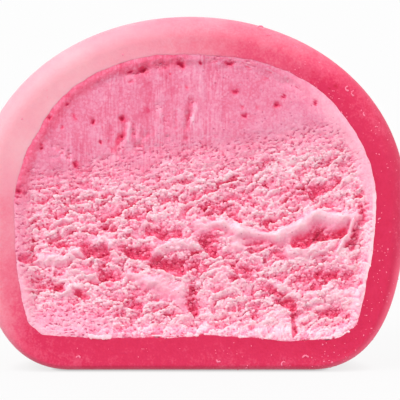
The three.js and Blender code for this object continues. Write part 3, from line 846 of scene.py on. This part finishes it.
def placeCrags(cut, x, wx, wz, bendX, bendZ):
    # Adds the placed ridges and patches as bell curves and the hollows as scoops. The
    # slope below a crest is sleek and reddens downwards; the crest itself crumbles. Crests
    # and the rims of hollows are paler, and hollows, deeper patches and the foot of each
    # slope redder, as painted light and shade.
    crestTone, weight = np.zeros_like(x), np.full_like(x, 1e-6)
    for x0, z0, x1, z1, reach, rise, sleekness in ridges:
        calm = 1 - 0.5 * sleekness
        offX, offZ = offLine(wx - calm * bendX, wz - calm * bendZ, x0, z0, x1, z1)
        near = bell(offX, offZ, reach)
        below = bell(offX, offZ + 0.55 * reach, 1.15 * reach)
        cut.lift += 0.55 * rise * near + 0.3 * rise * below
        cut.tone += 0.1 * near
        pressed = np.clip(1.5 * below, 0, 1) * sleekness
        cut.sleek = np.maximum(cut.sleek, pressed)
        crest = mix(*face["crestTones"], smooth(x, -1, 3))
        downwards = smooth(-offZ, 0.1 * reach, 1.9 * reach)
        crestTone += pressed**2 * mix(crest, face["slopeTone"], downwards)
        weight += pressed**2
    for x0, z0, x1, z1, reach, fall in hollows:
        offX, offZ = offLine(wx, wz, x0, z0, x1, z1)
        depth, rim = scoopShape(offX / (1.25 * reach), offZ / (1.25 * reach))
        cut.lift += fall * (0.2 * rim - 0.36 * depth)
        cut.tone += 0.12 * rim - 0.36 * min(1, fall + 0.3) * depth
    for x0, z0, x1, z1, reach, share in patches:
        near = bell(*offLine(wx, wz, x0, z0, x1, z1), 1.15 * reach)
        cut.lift -= 0.12 * share * near
        cut.tone -= (0.5 if share > 0 else 0.3) * share * smooth(near, 0.05, 0.75)
    cut.crestTone = crestTone / weight


def tearUp(cut, along, across, torn):
    # Adds shelves, billows, clumps, banks and grains where the face is torn and not
    # sleek. A shelf stands out at its rim, falls back below it, and is deepest and
    # reddest just over the rim beneath: a painted highlight on the rim and painted shade
    # down the slope and in the gap. Clumps, banks and grains are paler where they stand
    # out, as painted light.
    rough = 1 - 0.85 * cut.sleek
    for start, full, cellX, cellZ, seed, drop, rimTone, slopeTone, gapTone in face["shelves"]:
        under, over, pick = shelves(along / cellX, across / cellZ, seed)
        share = rough * smooth(torn, start, full)
        if cellZ < 0.5:  # the finest give way where the tear is full
            share = share * (1 - 0.8 * smooth(torn, 0.5, 0.9))
        rim = np.exp(-((under / 0.2) ** 2))
        slope = smooth(under, 0.0, 0.85) * mix(0.4, 1.0, pick)
        gap = np.exp(-((over / 0.24) ** 2)) * smooth(pick, 0.1, 0.7) * smooth(under, 0.1, 0.5)
        cut.lift += share * drop * (0.5 - slope - 0.6 * gap)
        cut.tone += share * (rimTone * rim + 0.5 * slopeTone - slopeTone * slope - gapTone * gap)
    for shape, cellX, cellZ, draws, start, full, lifts, tones in face["layers"]:
        layer = shape(along / cellX, across / cellZ, *draws)
        cut.lift += lifts * rough * smooth(torn, start, full) * layer
        cut.tone += tones * rough * smooth(torn, start, full) * layer
    cut.tone = mix(cut.tone, cut.crestTone, 0.85 * smooth(cut.sleek, 0.2, 0.9))


def smearOver(cut, x, z, torn):
    # Adds the blade's streaks, fine and broad, and stains drawn out with them, and makes
    # the smeared part darker than the torn part. Gives how streaked the face is.
    f = face
    sway = x + 0.35 * ripple(x / 3, z / 5, 81)
    bands = roughRipple(sway / f["streaks"][0], z / f["streaks"][1], 85, 2)
    stains = smooth(roughRipple(sway / f["stains"][0], z / f["stains"][1], 86), 0.1, 0.6)
    streaked = (1 - smooth(torn, 0.3, 0.7)) * mix(0.3, 1.0, smooth(x, -17, -12) * smooth(-x, -5, -2))
    cut.lift += streaked * f["streakLift"] * bands
    cut.tone += streaked * (f["streakTone"] * bands - f["stainTone"] * stains)
    blots = smooth(roughRipple(x / f["blots"][0], z / f["blots"][1], 87), -0.1, 0.5)
    cut.tone -= f["blotTone"] * blots * smooth(x, -3, 3) * (1 - smooth(torn, 0.05, 0.4))
    nearing = smooth(28.5 - z + f["tearSlope"] * x, 0, 8.5)
    offset = mix(-0.12 + 0.03 * smooth(x, -3, 5), 0.03 + 0.08 * smooth(x, -8, 12), nearing)
    cut.tone += (offset - 0.04 * smooth(torn, 0.4, 0.9)) * (1 - smooth(cut.sleek, 0.3, 0.8))
    return streaked * mix(0.15, 1.0, smooth(roughRipple(x / 1.5, z / 2.6, 84, 2), -0.4, 0.4))


def closeJoint(cut, x, z, joint, drawn, torn, bendX):
    # Beside the joint the blade drew the cream out smooth at the right and below, with a
    # painted highlight along a line at the right; at the upper left a painted shadow of the
    # skin's lip darkens it towards the skin's colour, and at the upper right it stayed clean
    # of smears. Gives how strong that painted shadow is and how clean it is.
    f = face
    drawn = drawn * mix(0.5, 1.0, smooth(ripple(x / 0.8, z / 1.3, 93), -0.6, 0.2))
    drawn = drawn * mix(0.6, 1.0, smooth(z, 16, 20))
    cut.sleek = np.maximum(cut.sleek, 0.9 * drawn)
    cut.lift = mix(cut.lift, 0.5 * torn, 0.9 * drawn)
    cut.tone = mix(cut.tone, f["drawnTone"], 0.7 * drawn)
    # painted highlight: a pale line along the joint at the right, where the edge catches the light
    line = smooth(joint, 0.42, 0.24) * smooth(x, 15, 17) * smooth(z, 8, 12) * smooth(21 - z, 0, 4)
    cut.tone += f["highlightLineTone"] * line
    pale = smooth(joint, 1.1, 0.4) * smooth(-x, 12, 15) * smooth(12.5 - z, 0, 3)
    cut.sleek = np.maximum(cut.sleek, 0.7 * pale)
    cut.tone = mix(cut.tone, f["paleTone"], 0.7 * pale)
    # painted shadow of the skin's lip along the upper left joint
    sunk = smooth(joint + 0.25 * bendX + 0.3 * ripple(x / 1.1, z / 1.1, 94), 1.5, 0.7)
    sunk = sunk * smooth(2.0 - x, 0, 5) * smooth(z, 17, 20)
    cut.tone = mix(cut.tone, f["lipShadowTone"], 0.85 * sunk)
    clean = smooth(joint, 2.8, 0.7) * smooth(x, 7.5, 13) * smooth(z, 12, 17)
    cut.tone += f["cleanTone"] * clean * (1 - smooth(torn, 0.3, 0.8))
    return sunk, clean


def relief(x, z):
    # The cut face: its lift towards the front, in millimetres, its tone, 0 in the
    # deepest hollows and 1 on the palest rims, darker in hollows and paler on rims partly
    # as painted shade and highlight, and how torn, sleek, dull (smear), streaked and porous
    # it is. Along and across place it on the rows of pores, in millimetres.
    joint = jointDistance(x, z)
    wide = mix(0.65, 1.9, smooth(z, 16, 21))
    drawn = smooth(joint / wide, 1.0, 0.35) * smooth(x, 11, 15) * smooth(z, 4, 7)
    torn = tornShare(x, z) * (1 - 0.7 * drawn * smooth(z, 16, 20))
    # the rows grow steeper from the left edge, 17 mm out, to the right edge
    left, right = face["rowSlopes"]
    across = z - left * x - (right - left) * (x + 17) ** 2 / 68
    along = x + 0.3 * z + 0.4 * ripple(x / 2, z / 2, 15)
    across = across + 0.2 * ripple(x / 1.6, z / 1.6, 16)
    bendX, bendZ = bent(x, z, 22, 26), bent(x, z, 24, 27)
    wx = x + 0.35 * ripple(x / 1.5, z / 1.5, 21) + bendX
    wz = z + 0.35 * ripple(x / 1.5, z / 1.5, 23) + bendZ
    along, across = along + bendX, across + bendZ

    cut = SimpleNamespace(lift=np.zeros_like(x), tone=np.full_like(x, 0.5), sleek=np.zeros_like(x))
    placeCrags(cut, x, wx, wz, bendX, bendZ)
    tearUp(cut, along, across, torn)
    cut.streaked = smearOver(cut, x, z, torn)
    sunk, clean = closeJoint(cut, x, z, joint, drawn, torn, bendX)

    dull = (1 - smooth(torn, 0.0, 0.5)) * (1 - sunk) * (1 - 0.8 * clean)
    dull = np.maximum(dull, 0.15 + 0.35 * smooth(8.5 - z, 0, 4) * smooth(-x, 4, 11))
    cut.pit = np.zeros_like(x)
    for x0, z0, x1, z1, reach, rise in marks:
        offX, offZ = offLine(x + 0.8 * bendX, z + 0.8 * bendZ, x0, z0, x1, z1)
        near = bell(offX, offZ, reach)
        cut.lift += 0.6 * rise * near
        # the tone of a mark follows its rise: pits darkened as painted shade, the deeper ones with a
        # wider dark ring round them
        cut.tone += np.clip(1.6 * rise, -0.6, 0.3) * near
        cut.tone -= 0.12 * bell(offX, offZ, 2.4 * reach) * (rise < -0.3)
        dull = dull * (1 - near * (rise < -0.15))
        cut.pit = np.maximum(cut.pit, near**2 * (rise < -0.28))
    pores = smooth(torn, 0.0, 0.25) * mix(1.0, 0.45, smooth(torn, 0.4, 0.8)) * (1 - 0.9 * cut.sleek)
    cut.pores = pores * (1 + 0.4 * smooth(8.2 - z, 0, 3) * smooth(-x, 2, 8))
    cut.torn, cut.smear, cut.along, cut.across = torn, dull, along, across
    return cut


def creamFace():
    # A grid of points from the left edge to the right edge at each height, pushed back
    # by its recess and out by its relief, and leaned upwards where it stands out.
    f = face
    r, z, nr, nz = halfOutline(1200)
    edges = []
    for side in (1.0, 0.0):
        inwards = skinThickness(nr, nz, 1 - side) - f["tuck"]
        edges.append((z - nz * inwards, r - nr * inwards))
    top = min(edge[0][0] for edge in edges)
    floor = f["lowest"]
    levels = [floor]
    while levels[-1] < top - 3:
        share = float(smooth(levels[-1], 25, 28))
        levels.append(levels[-1] + mix(f["tornStep"], f["smearedStep"], share))
    crown = top - (top - levels[-1]) * np.linspace(1, 0, f["crownRows"] + 1)[1:] ** 2
    levels = np.concatenate([levels, crown])[::-1]
    beyond = []
    for edgeZ, edgeR in edges:
        upTo = np.argmax(edgeZ < floor + 0.01) if (edgeZ < floor + 0.01).any() else len(edgeZ)
        beyond.append(np.interp(levels, edgeZ[:upTo][::-1], edgeR[:upTo][::-1]))
    right, left = beyond
    right[0] = left[0] = 0
    share = np.linspace(0, 1, f["columns"])[None, :]
    x = mix(-left[:, None], right[:, None], share)
    zz = np.broadcast_to(levels[:, None], x.shape)
    cut = relief(x, zz)
    lift, tone, torn, sleek = cut.lift, cut.tone, cut.torn, cut.sleek
    least = f["leastRecess"]
    level = np.maximum(smooth(x, -2, 5), smooth(-zz, -18, -14))
    smeared = mix(f["recessLeft"], f["recessRight"], level)
    joint = jointDistance(x, zz)
    smeared = mix(least, smeared, smooth(joint, 0.1, 1.4))
    recess = mix(smeared, f["tornRecess"], torn)
    recess = mix(least, recess, smooth(joint, 0.1, 1.1))
    depth = np.maximum(least, recess - lift)
    # painted shade and light: darker where the face lies below the mean of its surroundings, paler where
    # it stands above it, and darker still in the pits
    tone = tone + 0.05 * (lift - blurred(lift, 2)) / 0.08 + 0.06 * (lift - blurred(lift, 8)) / 0.25
    tone = np.clip(tone, 0, 1) - 0.6 * cut.pit
    inside = smooth(share, 0, 0.02) * smooth(1 - share, 0, 0.02) * smooth(-zz, -top, -top + 0.5)
    lean = f["lean"] * (recess - depth) * inside * smooth(zz, floor, floor + 0.5)
    lean = lean + waver(x) * (1 - smooth(zz, floor, floor + 1.6))
    front = np.stack([x, depth + outline["front"], zz + lean], axis=-1)
    cut.tone = tone
    cut.crumbling = smooth(torn, 0.4, 0.9) * (1 - smooth(sleek, 0.15, 0.5))
    cut.crumbling = cut.crumbling * mix(1.0, 0.55, smooth(tone, 0.2, 0.5))
    cut.grain = mix(*f["grains"], smooth(torn, 0.25, 0.75)) * (1 - 0.8 * sleek)
    return front, cut, levels, left, right


def creamPiece(front, cut, levels, left, right):
    # the face with a plain round back behind it, hidden in the skin
    f = face
    angles = np.linspace(0, np.pi, f["backSteps"] + 1)[None, 1:-1]
    radius = mix(right[:, None], left[:, None], (1 - np.cos(angles)) / 2)
    deep = outline["front"] + f["backStart"] + f["backFlatness"] * radius * np.sin(angles)
    back = np.stack([radius * np.cos(angles), deep,
                     np.broadcast_to(levels[:, None], radius.shape)], axis=-1)
    points = np.concatenate([front, back], axis=1)
    under = np.broadcast_to([0.0, outline["front"] + f["underStart"], levels[-1]], points[-1:].shape)
    points = np.concatenate([points, under])
    whole = {}
    for key in ("tone", "grain", "smear", "pores", "streaked", "along", "across"):
        whole[key] = np.zeros(points.shape[:2])
        whole[key][:-1, :front.shape[1]] = getattr(cut, key)
    return gridPiece("ice_cream_filling", points, cream, whole)


crumbs = {
    "everyFine": 2.5,  # one fine crumb in each square of this many grid steps
    "fineRadii": (0.12, 0.19),
    "everyCoarse": 8,
    "coarseRadii": (0.18, 0.26),
    "spread": [(0.85, 1.35), (0.6, 0.95), (0.75, 1.1)],  # least and most size in x, y and z
    "lumpiness": (0.85, 1.1),  # least and most reach of a corner
    "sunk": (0.2, 0.6),  # least and most share of the radius below the face
    "tones": (0.1, 0.97),  # where the face is at its deepest and at its palest
    "keepFine": 1.0,  # share of the squares with a crumb where the face crumbles most
    "keepCoarse": 0.7,
}


def ball(finer=False):
    # a closed ball of 20 triangles, or of 80 where each is cut into four
    g = (1 + 5**0.5) / 2
    corners = np.array([(-1, g, 0), (1, g, 0), (-1, -g, 0), (1, -g, 0), (0, -1, g), (0, 1, g),
                        (0, -1, -g), (0, 1, -g), (g, 0, -1), (g, 0, 1), (-g, 0, -1), (-g, 0, 1)])
    faces = np.array([(0, 11, 5), (0, 5, 1), (0, 1, 7), (0, 7, 10), (0, 10, 11), (1, 5, 9),
                      (5, 11, 4), (11, 10, 2), (10, 7, 6), (7, 1, 8), (3, 9, 4), (3, 4, 2),
                      (3, 2, 6), (3, 6, 8), (3, 8, 9), (4, 9, 5), (2, 4, 11), (6, 2, 10),
                      (8, 6, 7), (9, 8, 1)])
    if finer:
        pairs = np.concatenate([faces[:, [0, 1]], faces[:, [1, 2]], faces[:, [2, 0]]])
        edges, index = np.unique(np.sort(pairs, axis=1), axis=0, return_inverse=True)
        middle = len(corners) + index.reshape(3, -1)
        corners = np.concatenate([corners, corners[edges].mean(axis=1)])
        a, b, c = faces.T
        ab, bc, ca = middle
        faces = np.concatenate([np.stack(t, axis=1) for t in
                                ((a, ab, ca), (b, bc, ab), (c, ca, bc), (ab, bc, ca))])
    return corners / np.linalg.norm(corners, axis=1)[:, None], faces


def scatteredPiece(name, places, shapes, faces, material, attributes=None):
    # one mesh of many closed bits, each with its own place and shape and the same faces
    points = (places[:, None] + shapes).reshape(-1, 3)
    triangles = (faces[None] + shapes.shape[1] * np.arange(len(places))[:, None, None]).reshape(-1, 3)
    return newPiece(name, points, np.zeros((0, 4), int), triangles, material, attributes)


def gridNormals(grid, i, j, reach):
    # the normals of a grid's surface at the given rows and columns
    normal = np.cross(grid[i + reach, j] - grid[i - reach, j], grid[i, j + reach] - grid[i, j - reach])
    return normal / np.linalg.norm(normal, axis=1)[:, None]


def crumbPiece(name, front, cut, every, radii, keep, seed, finer=False):
    # One crumb near each square of the face's grid: a ball with each corner pushed in
    # or out by a random share, sunk a little into the face. Keep is the share of
    # squares that hold one where the face crumbles most.
    draw = np.random.default_rng(seed)
    rows = np.arange(2, front.shape[0] - 3, every)
    columns = np.arange(2, front.shape[1] - 3, every)
    i, j = np.meshgrid(rows, columns, indexing="ij")
    i = np.clip((i + draw.uniform(0, every, i.shape)).astype(int), 2, front.shape[0] - 3).ravel()
    j = np.clip((j + draw.uniform(0, every, j.shape)).astype(int), 2, front.shape[1] - 3).ravel()
    kept = draw.uniform(size=i.size) < keep * cut.crumbling[i, j]
    i, j = i[kept], j[kept]
    normal = gridNormals(front, i, j, 2)
    radius = mix(*radii, draw.uniform(size=i.size) ** 1.5)
    corners, faces = ball(finer)
    shape = corners[None] * draw.uniform(*crumbs["lumpiness"], (i.size, len(corners), 1))
    spread = np.stack([draw.uniform(*span, i.size) for span in crumbs["spread"]])
    shape = shape * (spread * radius).T[:, None]
    sunk = draw.uniform(*crumbs["sunk"], i.size) + 0.25 * (1 - smooth(cut.torn[i, j], 0.3, 0.8))
    centre = front[i, j] - normal * (radius * sunk)[:, None]
    # painted light and shade: the sides that face outwards and upwards are paler, and those
    # turned into the face, in the gaps between crumbs, deeper
    tone = np.repeat(cut.tone[i, j], len(corners))
    outwards = (corners @ normal.T).T.ravel()
    upwards = np.tile(corners[:, 2], i.size)
    tone = mix(*crumbs["tones"], tone) + 0.05 * outwards + 0.05 * upwards
    # here and there one is paler, most of all where it lies deep
    paler = mix(0.32, 0.1, smooth(cut.tone[i, j], 0.1, 0.6)) * draw.uniform(size=i.size) ** 2
    low = smooth(9 - front[i, j, 2], 0, 5) * smooth(-front[i, j, 0], 3, 10)
    tone += np.repeat(paler - 0.05 - 0.12 * low, len(corners))
    return scatteredPiece(name, centre, shape, faces, crumb, {"tone": tone})


creamFront, creamCut, *creamRest = creamFace()
filling = creamPiece(creamFront, creamCut, *creamRest)
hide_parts("ice_cream")
print("ice cream made:", len(filling.data.polygons), "faces")

fine = crumbPiece("ice_cream_crumbs", creamFront, creamCut, crumbs["everyFine"],
                  crumbs["fineRadii"], crumbs["keepFine"], 7)
coarse = crumbPiece("ice_cream_clods", creamFront, creamCut, crumbs["everyCoarse"],
                    crumbs["coarseRadii"], crumbs["keepCoarse"], 8, finer=True)
print("crumbs made:", [len(piece.data.polygons) for piece in (fine, coarse)])


specks = {
    "count": 420,
    "radii": (0.025, 0.065),
    "flatness": 0.5,
    "lumpiness": (0.7, 1.2),
    "spread": (0.7, 2.2),  # least and most size along each axis
    "onRight": 0.6,  # share of those on the cut that lie on its right side
    "onBack": 0.3,  # share that lies on the outside instead
    "curlStep": 0.045,  # between the grains of a curl
    "curlRadii": (0.04, 0.07),
    # curls of starch on the cut: middle x and height, radius, from and to in degrees
    "curls": [(16.55, 30.05, 0.22, 90, 300), (17.2, 29.55, 0.24, 100, 260), (7.4, 36.3, 0.35, 40, 140),
              (8.2, 35.85, 0.2, 200, 330), (20.1, 16.1, 0.3, 110, 150), (19.6, 25.8, 0.25, 60, 120),
              (18.4, 27.4, 0.2, 150, 260), (11.0, 34.3, 0.2, 20, 110), (-11.9, 1.55, 0.2, 20, 160),
              (3.0, 1.35, 0.22, 190, 300), (12.2, 1.5, 0.3, 30, 160), (9.9, 0.9, 0.24, 60, 210)],
}


def speckPiece(grid):
    # Flat grains scattered over the outside and the cut, thickest at the right and
    # along the foot, and short curls made of grains in a row.
    draw = np.random.default_rng(21)
    s = specks
    rows, columns = grid.shape[0], grid.shape[1]
    outside = skin["backSteps"] + 1
    onCut = skin["rollSteps"] + skin["stripSteps"]
    i = draw.integers(3, rows - 3, 6 * s["count"])
    edge = draw.integers(1, onCut, i.size)
    right = draw.uniform(size=i.size) < s["onRight"]
    j = np.where(right, columns - 1 - edge, outside + edge)
    j = np.where(draw.uniform(size=i.size) < s["onBack"], draw.integers(1, outside - 2, i.size), j)
    place = grid[i, j] + (grid[i + 1, j] - grid[i, j]) * draw.uniform(size=(i.size, 1))
    towardsRight = smooth(place[:, 0] + 0.4 * (18 - place[:, 2]), -6, 14)
    clusters = smooth(ripple(place[:, 0] / 1.5, (place[:, 2] + place[:, 1]) / 1.5, 22), -0.5, 0.6)
    chosen = draw.uniform(size=i.size) < mix(0.04, 0.6, towardsRight) * mix(0.2, 1.0, clusters)
    i, j, place = i[chosen][:s["count"]], j[chosen][:s["count"]], place[chosen][:s["count"]]
    normal = gridNormals(grid, i, j, 1)
    radius = mix(*s["radii"], draw.uniform(size=i.size) ** 2)
    along, where = [], []
    for x, z, size, start, end in s["curls"]:
        count = 3 + int(size * math.radians(abs(end - start)) / s["curlStep"])
        turn = np.radians(np.linspace(start, end, count))
        along.append(np.stack([x + size * np.cos(turn), z + size * np.sin(turn)], axis=-1))
        where.append(mix(*s["curlRadii"], draw.uniform(size=turn.size)))
    along, where = np.concatenate(along), np.concatenate(where)
    cut = grid[:, outside:]
    nearest = [np.unravel_index(np.argmin(np.hypot(cut[..., 0] - x, cut[..., 2] - z)
               + 10 * (cut[..., 1] > outline["front"] + 1)), cut.shape[:2]) for x, z in along]
    depth = np.array([cut[at][1] for at in nearest])
    place = np.concatenate([place, np.stack([along[:, 0], depth, along[:, 1]], axis=-1)])
    normal = np.concatenate([normal, np.tile([0.0, -1.0, 0.0], (len(along), 1))])
    radius = np.concatenate([radius, where])
    corners, faces = ball()
    shape = corners[None] * draw.uniform(*s["lumpiness"], (len(place), len(corners), 1))
    shape = shape * radius[:, None, None]
    shape = shape * draw.uniform(*s["spread"], (len(place), 1, 3))
    height = (shape * normal[:, None]).sum(axis=2, keepdims=True)
    shape = shape - (1 - s["flatness"]) * height * normal[:, None]
    return scatteredPiece("starch_specks", place, shape, faces, starch)


sliver = {
    # along the bottom joint: x, height, half-height and half-depth of the frozen cream
    "stations": [(-16.2, 3.95, 0.02, 0.05), (-15.6, 3.88, 0.07, 0.15), (-13.0, 3.82, 0.08, 0.15),
                 (-11.6, 3.84, 0.05, 0.12), (-11.15, 3.95, 0.14, 0.2), (-10.7, 3.85, 0.34, 0.35),
                 (-10.0, 3.80, 0.36, 0.4), (-9.2, 3.78, 0.32, 0.4), (-8.5, 3.80, 0.3, 0.35),
                 (-8.15, 3.86, 0.16, 0.2), (-7.0, 3.84, 0.07, 0.12), (-5.0, 3.86, 0.06, 0.12),
                 (-3.4, 3.90, 0.11, 0.15), (-2.2, 3.92, 0.09, 0.15), (-0.4, 3.98, 0.05, 0.1),
                 (0.6, 4.05, 0.02, 0.05)],
    "steps": 260,
    "around": 14,
    "behind": 0.22,  # how far its middle lies behind the foremost plane
    "lumps": [(0.35, 0.3), (0.15, 0.2)],  # length of the lumps and their share of the size
    "taper": 0.1,  # how soon it narrows at both ends
}


def sliverPiece():
    # a lumpy strand of bright frozen cream lying on the joint: a closed tube whose
    # middle line and half-sizes run through the stations
    s = sliver
    x = np.linspace(s["stations"][0][0], s["stations"][-1][0], s["steps"])
    height, tall, deep = (np.interp(x, *np.array(s["stations"])[:, [0, k]].T) for k in (1, 2, 3))
    turn = np.linspace(0, 2 * np.pi, s["around"], endpoint=False)[None, :]
    (long, size), (fine, fineSize) = s["lumps"]
    lumps = (1 + size * ripple(x[:, None] / long, 2 * np.cos(turn), 71)
             + fineSize * ripple(x[:, None] / fine, turn, 72))
    ends = np.sqrt(np.clip(np.minimum(x - x[0], x[-1] - x) / s["taper"], 0, 1))[:, None]
    points = np.stack([np.broadcast_to(x[:, None], lumps.shape),
                       outline["front"] + s["behind"]
                       - 0.75 * deep[:, None] * lumps * ends * np.sin(turn),
                       height[:, None] + tall[:, None] * lumps * ends * np.cos(turn)], axis=-1)
    tone = np.broadcast_to(0.9 + 0.2 * smooth(tall, 0.1, 0.3)[:, None], lumps.shape)
    return gridPiece("frozen_sliver", points[::-1], crumb, {"tone": tone})


dust = speckPiece(skinGrid)
strand = sliverPiece()
print("starch and frozen strand made:", [len(piece.data.polygons) for piece in (dust, strand)])

stage = {
    "floorTone": 0.05,  # how much light the table throws back
    "floorGlow": 0.905,  # what the eye sees on top of that, so that it looks white
    "floorLight": 0.65,  # what it gives off besides
    # how the half darkens it where they touch and round about: how near, in metres, the
    # openness where it is darkest and where it is bright, and how dark
    "contact": (0.0004, 0.05, 0.4, 0.7),
    "overhang": (0.004, 0.0, 0.6, 0.85),
    "tableReach": 900.0,
    "surround": 1.04,  # strength of the white light from all round
    "surroundSeen": 0.983,  # and how bright it looks
    "keyFrom": (-0.6, -0.45, 0.66),
    "keyPower": 0.57,
    "keySoftness": 30,
    "fillFrom": (0.85, -0.35, 0.4),
    "fillPower": 0.16,
    "fillSoftness": 60,
    "lens": 150.0,
    "elevation": 3.0,
    "pixel": 0.107,  # millimetres a pixel at the cut
    "baseAt": (190.5, 369.7),  # where the middle of the base stands in the image
    "image": 400,
    "sensor": 36,
    "clip": (0.005, 5),  # nearest and farthest that the camera sees, in metres
}


def floorPiece():
    # a matt table that shines a little for the eye alone
    floor, nodes, shader = newMaterial("pale table")
    seen = nodes.add("ShaderNodeLightPath").outputs["Is Camera Ray"]
    glow = nodes.range(seen, 0, 1, stage["floorLight"], stage["floorGlow"])
    for reach, low, high, darkest in (stage["contact"], stage["overhang"]):
        open = nodes.add("ShaderNodeAmbientOcclusion", {"Distance": reach}).outputs["AO"]
        glow = nodes.math("MULTIPLY", glow, nodes.range(open, low, high, darkest, 1.0))
    nodes.feed(shader, {"Base Color": (*[stage["floorTone"]] * 3, 1), "Roughness": 0.8,
                        "Specular IOR Level": 0.0, "Emission Color": (1, 1, 1, 1),
                        "Emission Strength": glow})
    reach = stage["tableReach"]
    points = np.array([(-reach, -reach, 0), (reach, -reach, 0), (reach, reach, 0), (-reach, reach, 0)])
    mesh = bpy.data.meshes.new("table")
    mesh.from_pydata((points * mm).tolist(), [], [(0, 1, 2, 3)])
    mesh.materials.append(floor)
    table = bpy.data.objects.new("table", mesh)
    bpy.context.scene.collection.objects.link(table)


def surroundLight():
    # white all round, of one strength where it is seen and another where it lights
    world = bpy.data.worlds.new("white room")
    world.use_nodes = True
    nodes = Nodes(world.node_tree)
    ground = world.node_tree.nodes["Background"]
    seen = nodes.add("ShaderNodeLightPath").outputs["Is Camera Ray"]
    strength = nodes.range(seen, 0, 1, stage["surround"], stage["surroundSeen"])
    nodes.feed(ground, {"Color": (1, 1, 1, 1), "Strength": strength})
    bpy.context.scene.world = world


def softSun(name, fromWhere, power, softness):
    # even light from one side; power 1 brings a white surface that faces it to white
    light = bpy.data.lights.new(name, "SUN")
    light.energy, light.angle = power * math.pi, math.radians(softness)
    lamp = bpy.data.objects.new(name, light)
    lamp.rotation_euler = (-Vector(fromWhere)).to_track_quat("-Z", "Y").to_euler()
    bpy.context.scene.collection.objects.link(lamp)


def frameCamera():
    # The camera looks slightly down. The base's middle is placed in the image by
    # moving the point it aims at, at the distance that gives the wanted scale.
    s = stage
    camera = bpy.data.objects.new("camera", bpy.data.cameras.new("camera"))
    camera.data.lens, camera.data.sensor_width = s["lens"], s["sensor"]
    distance = s["pixel"] * s["image"] * s["lens"] / s["sensor"]
    tilt = math.radians(s["elevation"])
    silhouette = outline["front"] + skin["rollDepth"]
    right = (s["image"] / 2 - s["baseAt"][0]) * s["pixel"]
    up = (s["baseAt"][1] - s["image"] / 2) * s["pixel"] / math.cos(tilt)
    aim = Vector((right, silhouette, up))
    back = Vector((0, -math.cos(tilt), math.sin(tilt)))
    camera.location = (aim + back * distance) * mm
    camera.rotation_euler = (-back).to_track_quat("-Z", "Y").to_euler()
    camera.data.clip_start, camera.data.clip_end = s["clip"]
    bpy.context.scene.collection.objects.link(camera)
    bpy.context.scene.camera = camera


floorPiece()
surroundLight()
softSun("key", stage["keyFrom"], stage["keyPower"], stage["keySoftness"])
softSun("fill", stage["fillFrom"], stage["fillPower"], stage["fillSoftness"])
frameCamera()
bpy.context.scene.view_settings.view_transform = "Standard"
print("stage set")
